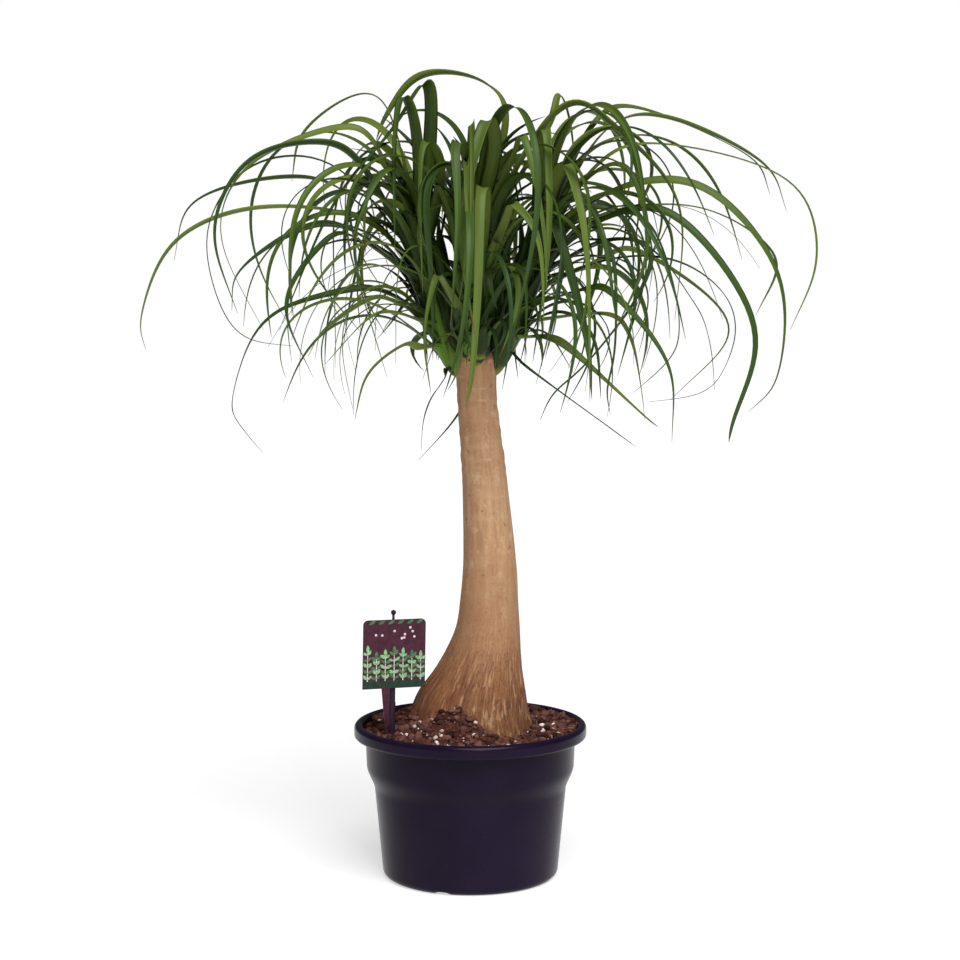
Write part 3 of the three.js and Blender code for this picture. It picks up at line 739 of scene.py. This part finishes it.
def build_trunk(material):
    row = catmull_rom(list(TRUNK), TRUNK_RINGS - 1)
    height, shift, radius = row[:, 0:1], row[:, 1:2], row[:, 2:3]
    turn = bearings(TRUNK_SIDES)
    swollen = smoothstep(radius, 24, 60)
    around = filled(np.cos(turn) * 60, np.sin(turn) * 60, height)
    # Along the fibres of the swollen base
    furrow = np.sin(BARK_FURROWS * turn + height * 0.02) + 0.6 * np.sin(5 * turn - 1)
    drawn = around * [1, 1, 0.16]
    ridge = NOISE(drawn, 8)
    fine = NOISE(drawn + 31, 3.2)
    cracks = np.clip(1 - np.abs(NOISE(drawn + 77, 9)) * 7, 0, 1)
    cracks = cracks * smoothstep(NOISE(around + 44, 14), -0.1, 0.4)
    # Across the smooth upper part: lumps, pale level scars that come and go round the trunk, and faint rungs
    lumps = NOISE(around + 5, 26)
    wavy = height + 3.4 * NOISE(around * [1, 1, 0.3] + 19, 26)
    level = filled(0 * wavy, 0 * wavy, wavy)
    scars = np.clip(1 - np.abs(NOISE(level + 13, 6)) * 6, 0, 1) * smoothstep(height, 390, 450)
    scars = scars * smoothstep(NOISE(around * [0.45, 0.45, 1] + 61, 17), 0, 0.5)
    rungs = NOISE(level + 29, 5.5) * smoothstep(height, 400, 450) * (0.6 + NOISE(around + 83, 30))
    reach = radius + BARK_DEPTH * 0.7 * swollen * furrow
    reach = reach + swollen * (0.7 * ridge + 0.45 * fine - 0.8 * cracks)
    reach = reach + (1 - swollen) * (0.3 * scars + 0.8 * rungs + 0.1 * ridge + 0.4 * lumps)
    fringe = smoothstep(height + 7 * NOISE(around + 91, 12), 531, 541)
    dark = np.clip(swollen * cracks * 0.8 + 0.9 * fringe, 0, 1)
    # Painted shade on the trunk's left side, away from the light: full on the flare below 190 mm, half above
    # 235 mm
    left_painted_shade = smoothstep(-np.cos(turn - 0.25), 0.2, 0.95) * (0.5 + 0.5 * smoothstep(-height, -235, -190))
    soup = Soup()
    soup.add(filled(shift + reach * np.cos(turn), reach * np.sin(turn), height),
             tube_faces(TRUNK_RINGS, TRUNK_SIDES), filled(dark, smoothstep(radius, 26, 60), scars, left_painted_shade))
    piece = soup.build("trunk_bark", material)
    colour_vertices(piece.data, "flow", filled(np.cos(turn), np.sin(turn), height * MM, 1))
    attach(piece, "root")
    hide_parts("trunk")


# ---- leaves

def stem_axis(head):
    lean, toward = math.radians(head["lean"]), math.radians(head["toward"])
    return np.array([math.sin(lean) * math.cos(toward), math.sin(lean) * math.sin(toward), math.cos(lean)])


def root_of(head, along):
    return np.array(head["foot"], float) + stem_axis(head) * head["stem"] * along


def bend(leaf, root, length):
    path = [root]
    for k in range(STEPS):
        u = (k + 0.5) / STEPS
        up = math.radians(mix(leaf["rise"], leaf["tip"], smoothstep(u, *leaf["bend"])))
        way = math.radians(leaf["heading"] + leaf["drift"] * u)
        step = np.array([math.cos(up) * math.cos(way), math.cos(up) * math.sin(way), math.sin(up)])
        path.append(path[-1] + step * length / STEPS)
    return np.array(path)


def grown_leaf(head, i, draw):
    """A leaf grown by the same rule, from the same draws, as in the part's source."""
    age = (i + 0.5) / head["leaves"]
    along = mix(*ROOTS, age)
    root = root_of(head, along)
    spread = (i * GOLDEN) % 1 - 0.5
    leaf = dict(
        heading=head["faces"] + mix(110, 150, age) * spread + draw(-8, 8),
        rise=mix(30, 86, age ** 0.6) + draw(-8, 8),
        tip=draw(-125, -75) + mix(15, 0, age),
        bend=(draw(0, 0.12), draw(*head["bent"])),
        drift=draw(-30, 30),
        width=mix(9, 15, age) * draw(0.75, 1.1),
        along=along,
    )
    lowest = draw(*LOWEST)
    highest = draw(*HIGHEST)
    length = mix(210, 440, age ** 0.7) * draw(0.8, 1.15)
    path = bend(leaf, root, length)
    while length > SHORTEST and (path[:, 2].min() < lowest or path[:, 2].max() > highest):
        length *= TRIM
        path = bend(leaf, root, length)
    leaf.update(roll=draw(-30, 30), twist=draw(-60, 60), path=path)
    return leaf


def outline_leaf(head, row):
    """A leaf through places seen on the plane of the trunk, each moved along its sight line to its depth."""
    along, width, depth, roll, seen = row
    root = root_of(head, along)
    places = [root]
    for i, (x, z) in enumerate(seen):
        u = (i + 1) / len(seen)
        y = root[1] + depth * (1 - (1 - u) ** 2)
        places.append(([x, 0, z] - EYE) * (1 + y / -EYE[1]) + EYE)
    return dict(width=width, roll=roll, twist=0, along=along, path=catmull_rom(places, STEPS))


def inner_leaf(head, random):
    """A short broad leaf of the sheaf's dark inside, standing close along the stem."""
    draw = random.uniform
    along = draw(0.05, 0.8)
    leaf = dict(
        heading=draw(0, 360), rise=draw(66, 84), tip=draw(-60, 40), bend=(draw(0.2, 0.5), 1.1),
        drift=draw(-20, 20), width=draw(11, 17), along=along, roll=draw(-30, 30), twist=draw(-40, 40),
    )
    leaf["path"] = bend(leaf, root_of(head, along), draw(110, 190))
    return leaf


def thin_leaf(head, random):
    """A narrow leaf, some hair-thin, that arches all along."""
    draw = random.uniform
    along = draw(0.08, 0.85)
    leaf = dict(
        heading=head["faces"] + draw(-80, 80), rise=draw(8, 58), tip=draw(-125, -60),
        bend=(0, draw(0.9, 1.3)), drift=draw(-70, 70), width=mix(1, 8, random.rand() ** 1.6),
        along=along, roll=draw(-40, 40), twist=draw(-60, 60),
    )
    length = draw(150, 300)
    path = bend(leaf, root_of(head, along), length)
    beside, before = THIN_LOWEST
    while path[:, 2].min() < (beside if abs(path[-1][0]) > BESIDE else before):
        length *= TRIM
        path = bend(leaf, root_of(head, along), length)
    leaf["path"] = path
    return leaf


def stem_radius(along):
    return STEM_RADIUS * (mix(1, 0.4, along) + 0.8 * math.sin(math.pi * max(along, 0)))


def foot_round(along):
    """How far a stem's foot is drawn in to a rounded end."""
    return math.sqrt(1 - min(0.96, (max(0, 0.07 - along) / 0.142) ** 2))


def clasped(head, leaf):
    """The leaf's whole midline, up the stem and out along its blade; each place's share, -1 to 0 on the base
    and 0 to 1 on the blade; and the sideways direction on the stem."""
    axis = stem_axis(head)
    out = leaf["path"][STEPS // 2] - leaf["path"][0]
    outward = unit(out - axis * np.dot(out, axis))
    span = min(SHEATH * (0.5 + leaf["width"] / 20), (leaf["along"] - head["base"]) * head["stem"])
    rows, shares = [], []
    for k in range(SHEATH_ROWS):
        t = k / SHEATH_ROWS
        along = leaf["along"] - (1 - t) * span / head["stem"]
        lift = stem_radius(along) * foot_round(along) + mix(0.4, SHEATH_LIFT, t)
        rows.append(root_of(head, along) + outward * lift)
        shares.append(t - 1)
    path = catmull_rom(list(leaf["path"]), BLADE_ROWS)
    for _ in range(SMOOTHING):
        path[1:-1] = path[1:-1] * 0.5 + (path[:-2] + path[2:]) * 0.25
    u = np.linspace(0, 1, len(path))[:, None]
    path = path + outward * (stem_radius(leaf["along"]) + SHEATH_LIFT) * (1 - u) ** 3
    end = np.clip((u - 0.55) / 0.45, 0, 1) ** 2
    path = path - (outward * leaf.get("curl", 0) + np.cross(axis, outward) * leaf.get("sweep", 0)) * end
    return np.vstack([rows, path]), shares + u[:, 0].tolist(), np.cross(axis, outward)


def blade_mesh(soup, head, leaf, tone, dry, wave):
    """A strap leaf with knife edges, a wide trough at the stem and a shallow folded one further out; wave is
    its extra roll along the blade, in radians."""
    path, shares, flat = clasped(head, leaf)
    count = len(path)
    out = leaf["path"][STEPS // 2] - leaf["path"][0]
    level = unit(np.array([-out[1], out[0], 0]))
    run = np.concatenate([[0], np.cumsum(np.linalg.norm(np.diff(path, axis=0), axis=1))])
    ring = len(UPPER) + len(UNDER)
    verts, uvs, cues = [], [], []
    for k in range(count):
        u = max(shares[k], 0)
        held = max(-shares[k], 0)
        along = unit(path[min(k + 1, count - 1)] - path[max(k - 1, 0)])
        across = mix(flat, level, smoothstep(u, 0, 0.2))
        across = unit(across - along * np.dot(across, along))
        roll = math.radians(leaf["roll"] + leaf["twist"] * u) + wave(u)
        across = turned(across, along, smoothstep(u, 0.02, 0.35) * roll)
        under = np.cross(across, along)
        base = smoothstep(u, 0.22, 0) * min(1, leaf["width"] / 9)
        half = (leaf["width"] * (1 - u ** 1.8) ** 0.95 + 0.3) / 2
        half = mix(half, max(half, mix(8.5, 12.5, held)), base)
        half *= math.sqrt(1 - 0.97 * max(0, (held - 0.5) / 0.5) ** 2)
        hollow = math.radians(mix(mix(14, 26, u), mix(48, 62, held), base))
        bow = half / hollow
        thick = mix(mix(0.55, 0.2, u), 0.9, base)

        def place(side, depth):
            """A place across the trough, that deep below its upper face."""
            trough = bow * (1 - math.cos(side * hollow))
            fold = 0.12 * half * (1 - base) * abs(side)
            return path[k] + across * bow * math.sin(side * hollow) + under * (depth - trough - fold)

        for side in UPPER:
            verts.append(place(side, 0))
            uvs.append((side * 0.5 + 0.5, run[k] * 0.01))
        for side in UNDER:
            verts.append(place(side, thick * (1 - side * side) + 0.05))
            uvs.append((1.5 - side * 0.5, run[k] * 0.01))
        dryness = max(dry * smoothstep(u, 0.85, 1), 0.75 * smoothstep(held, 0.9, 1))
        hanging = smoothstep(-along[2], 0.1, 0.8) * smoothstep(u, 0.1, 0.4)
        cues += [(tone, u - held, dryness, hanging)] * ring
    soup.add(verts, tube_faces(count, ring), cues, uvs)


def own_leaves(soup, name, head, looks):
    """The part's own leaves: those of the outline, then the grown ones."""
    draw = Draws(head["seed"])
    leaves = [outline_leaf(head, row) for row in OUTLINE[name]]
    leaves += [grown_leaf(head, i, draw) for i in reversed(range(head["leaves"]))]
    for leaf in leaves:
        tone, dry, phase, sway = looks.rand(4)
        swing = mix(0.1, 0.35, sway)
        if "heading" in leaf:
            leaf["curl"], leaf["sweep"] = looks.uniform(-12, 36), looks.uniform(-26, 26)
            leaf["width"] *= head["slim"]
        else:
            tone = mix(0.4, 1, tone)
            if leaf["width"] < NARROW:
                swing = mix(0.3, 0.6, sway)
                leaf["roll"] *= 0.75
        blade_mesh(soup, head, leaf, tone, dry, lambda u: swing * math.sin(7 * u + 6 * phase))


def looks_leaves(soup, name, head, looks):
    """The leaves that only the looks have."""
    for row in THREADS.get(name, ()):
        blade_mesh(soup, head, outline_leaf(head, row), 0.25, 0, lambda u: 0.4 * math.sin(8 * u))
    for _ in range(INNER_LEAVES):
        leaf = inner_leaf(head, looks)
        # their tone is drawn low: painted shade of the sheaf's dark inside
        blade_mesh(soup, head, leaf, looks.uniform(-0.1, 0.3), 0, lambda u: 0)
    for _ in range(head["thin"]):
        leaf = thin_leaf(head, looks)
        blade_mesh(soup, head, leaf, looks.uniform(0.3, 0.9), 0.3, lambda u: 0)


def stem_core(soup, head):
    turn = bearings(STEM_SIDES)
    rings, cues = [], []
    for along in STEM_LEVELS:
        centre = root_of(head, along)
        radius = stem_radius(along) * foot_round(along)
        rings.append(filled(centre[0] + radius * np.cos(turn), centre[1] + radius * np.sin(turn), centre[2]))
        pale_foot = (0.6, -0.85, 0.4 * smoothstep(-along, 0.05, 0.07), 0)
        cues += [pale_foot if along < 0 else (0.1, 0.5, 0, 0)] * STEM_SIDES
    soup.add(rings, tube_faces(len(STEM_LEVELS), STEM_SIDES), cues)


def build_head(name, material):
    head = HEADS[name]
    soup = Soup()
    looks = np.random.RandomState(head["seed"])
    own_leaves(soup, name, head, looks)
    looks_leaves(soup, name, head, looks)
    stem_core(soup, head)
    piece = soup.build(name.replace("head", "leaves"), material)
    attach(piece, "root")
    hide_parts(name)


# ---- label

def at_stake(verts):
    """Millimetres from the stake's foot, turned, tilted and moved to where the stake stands."""
    turn, lean = math.radians(STAKE["turn"]), math.radians(STAKE["tilt"])
    x, y, z = np.transpose(verts)
    x, y = x * math.cos(turn) - y * math.sin(turn), x * math.sin(turn) + y * math.cos(turn)
    return filled(STAKE["x"] + x * math.cos(lean) + z * math.sin(lean), STAKE["y"] + y,
                  STAKE["bottom"] - x * math.sin(lean) + z * math.cos(lean))


def build_stake(material):
    r, neck, ball = STAKE["radius"], STAKE["neck"], STAKE["ball"]
    waist = r - 0.5
    top = STAKE["top"] - STAKE["bottom"]
    profile = [(0, 0), (0.8, 0), (waist, 29), (r, 31), (r, 83), (r - 0.1, 84.5), (waist, 86)]
    profile += [(waist, top - 26), (mix(neck, waist, 0.4), top - 23), (neck, top - 20)]
    profile += [(neck, top - 2 * ball), *arc(0, top - ball, ball, -60, 88, 12), (0, top)]
    verts, faces = lathe(profile, 32)
    piece = make_object("label_stake_rod", at_stake(verts), faces, material)
    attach(piece, "root")
    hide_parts("label_stake")


def card_frame():
    """Half the card's width, and its lower and upper edge above the stake's foot."""
    low = CARD["bottom"] - STAKE["bottom"]
    return CARD["width"] / 2, low, low + CARD["height"]


def card_outline():
    half, low, high = card_frame()
    corner, tail = CARD["corner"], TAIL["width"] / 2
    tip = soil_height(STAKE["x"] + TAIL["tip"], STAKE["y"]) - STAKE["bottom"] - TAIL["sunk"]
    points = [(-half, low), (TAIL["x"] - tail, low), (TAIL["tip"] - 0.5, tip), (TAIL["tip"] + 0.5, tip)]
    points += [(TAIL["x"] + tail, low), (half, low)]
    points += arc(half - corner, high - corner, corner, 0, 90, 8)
    points += arc(corner - half, high - corner, corner, 90, 180, 8)
    return points


def add_plate(soup, outline, y, thick):
    """A flat piece with that outline in x and z, from y backwards by its thickness."""
    count = len(outline)
    verts = [(x, y, z) for x, z in outline] + [(x, y + thick, z) for x, z in outline]
    faces = [list(range(count)), [count + j for j in reversed(range(count))]]
    faces += [[j, count + j, count + (j + 1) % count, (j + 1) % count] for j in range(count)]
    soup.add(at_stake(verts), faces)


def oval_leaf(x, z, long, wide, lean):
    """The outline of a pointed oval leaf from its foot, leaning by an angle from upright."""
    c, s = math.cos(math.radians(lean)), math.sin(math.radians(lean))
    side = [(wide / 2 * math.sin(math.pi * t) ** 0.8, long * t) for t in np.linspace(0, 1, 9)]
    shape = side + [(-w, h) for w, h in reversed(side[1:-1])]
    return [(x + w * c + h * s, z - w * s + h * c) for w, h in reversed(shape)]


def build_card():
    """The card and its raised print: sprigs on a dark strip, pale buds, and a row of leaves along the top."""
    front = -STAKE["radius"] - CARD_GAP - CARD["thick"]
    half, low, high = card_frame()
    edge = half - MARGIN
    ground = low + STRIP_TOP
    card, strip, light, deep, pale = (Soup() for _ in range(5))
    add_plate(card, card_outline(), front, CARD["thick"])
    add_plate(strip, [(-edge, low + MARGIN), (edge, low + MARGIN), (edge, ground), (-edge, ground)],
              front - 0.12, 0.12)
    random = np.random.RandomState(8)
    for i in range(SPRIGS):
        x = mix(-half + 5, half - 5, i / (SPRIGS - 1))
        tall = random.uniform(20, 33)
        stalk = [(x - 0.5, ground), (x + 0.5, ground), (x + 0.3, ground + tall), (x - 0.3, ground + tall)]
        add_plate(pale, stalk, front - 0.16, 0.16)
        for j in range(LEAF_PAIRS):
            z = low + 10 + tall * j / LEAF_PAIRS
            for side in (-1, 1):
                leaf = oval_leaf(x, z, random.uniform(5, 8), random.uniform(2.4, 3.6),
                                 side * random.uniform(35, 70))
                leaf = [(min(max(a, -edge), edge), b) for a, b in leaf]
                add_plate((light, deep)[(i + j) % 2], leaf, front - 0.2 - 0.02 * ((i + j + side) % 3), 0.2)
        add_plate((light, deep)[i % 2], oval_leaf(x, low + 6 + tall, 8, 3.4, 0), front - 0.27, 0.27)
    for _ in range(BUDS):
        x, z = random.uniform(-half + 7, half - 7), high - random.uniform(6, 20)
        add_plate(pale, [(x + 1.3 * math.cos(a), z + 1.3 * math.sin(a)) for a in bearings(10)],
                  front - 0.14, 0.14)
    for x in np.linspace(-half + 6, half - 10, 6):
        add_plate(deep, oval_leaf(x, high - 4.5, 8, 3, 62), front - 0.18, 0.18)
    for name, soup, kind in (("card_plate", card, "plum"), ("card_strip", strip, "strip"),
                             ("card_light_leaves", light, "light"), ("card_deep_leaves", deep, "deep"),
                             ("card_stalks", pale, "pale")):
        piece = soup.build(name, print_material("card_" + kind, *PRINTS[kind]), smooth=False)
        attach(piece, "root")
        if kind == "plum":
            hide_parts("label_card")


# ---- stage

def floor_material():
    s = Shader("pale_floor", 0.9, 0.1)
    cloud = s.noise(s.place(), 2, 2)
    s.colour(s.ramp(cloud, 0.3, 0.7, (0.45, 0.45, 0.45), (0.47, 0.47, 0.47)))
    s.principled.inputs["Emission Color"].default_value = (1, 1, 1, 1)
    s.principled.inputs["Emission Strength"].default_value = FLOOR_GLOW
    return s.material


def put(name, data, place, rotation):
    """A light or the camera."""
    obj = in_scene(name, data)
    obj.location = place
    obj.rotation_euler = rotation
    return obj


def light_scene():
    """White surroundings with a faint light, a broad light overhead and a narrow strip."""
    world = bpy.data.worlds.new("studio")
    world.use_nodes = True
    tree = world.node_tree
    background = tree.nodes["Background"]
    background.inputs["Color"].default_value = (1, 1, 1, 1)
    seen = tree.nodes.new("ShaderNodeLightPath").outputs["Is Camera Ray"]
    strength = tree.nodes.new("ShaderNodeMapRange")
    strength.inputs["To Min"].default_value = AMBIENT
    tree.links.new(seen, strength.inputs["Value"])
    tree.links.new(strength.outputs["Result"], background.inputs["Strength"])
    bpy.context.scene.world = world
    sun = bpy.data.lights.new("sky_panel", "SUN")
    sun.energy = SUN["energy"]
    sun.angle = math.radians(SUN["spread"])
    put("sky_panel", sun, (0, 0, 0), (*map(math.radians, SUN["tilt"]), 0))
    strip = bpy.data.lights.new("strip", "AREA")
    strip.shape = "RECTANGLE"
    strip.size, strip.size_y = STRIP["size"]
    strip.energy = STRIP["energy"]
    x, y, z = np.subtract(STRIP["target"], STRIP["place"])
    put("strip", strip, STRIP["place"],
        (math.atan2(math.hypot(x, y), -z), 0, math.atan2(y, x) - math.pi / 2))


def build_stage():
    corners = [(x * FLOOR_HALF, y * FLOOR_HALF, 0) for x, y in ((-1, -1), (1, -1), (1, 1), (-1, 1))]
    floor = make_object("floor", corners, [[0, 1, 2, 3]], floor_material())
    light_scene()
    scene = bpy.context.scene
    scene.view_settings.view_transform = "Standard"
    camera = bpy.data.cameras.new("camera")
    camera.lens = LENS
    scene.camera = put("camera", camera, (EYE * MM).tolist(), (math.pi / 2 - PITCH, 0, 0))


build_stage()
build_pot(moulded_material("pot_plastic", (0.007, 0.003, 0.013), (0.011, 0.006, 0.02)))
build_soil(soil_material())
scatter_grains("soil_crumbs", 1400, (1, 5), 71, flat=0.5, material=grain_material(
    "mix_crumbs", 0.92, 0.15, (500, 5, 0.7), (0.022, 0.006, 0.004), (0.2, 0.085, 0.065),
    (0.4, 0.7, 0.7, (0.018, 0.006, 0.005)), 0.001))
scatter_grains("soil_perlite", 120, (0.8, 3.3), 72, flat=0.7, to_front=0.8, material=grain_material(
    "perlite", 0.85, 0.3, (700, 4, 0.6), (0.42, 0.27, 0.25), (0.8, 0.68, 0.66),
    (0.5, 0.72, 0.6, (0.33, 0.2, 0.18)), 0.0006))
build_trunk(bark_material())
leaf = leaf_material()
for head_name in HEADS:
    build_head(head_name, leaf)
build_stake(moulded_material("stake_plastic", (0.018, 0.008, 0.018), (0.03, 0.015, 0.028)))
build_card()
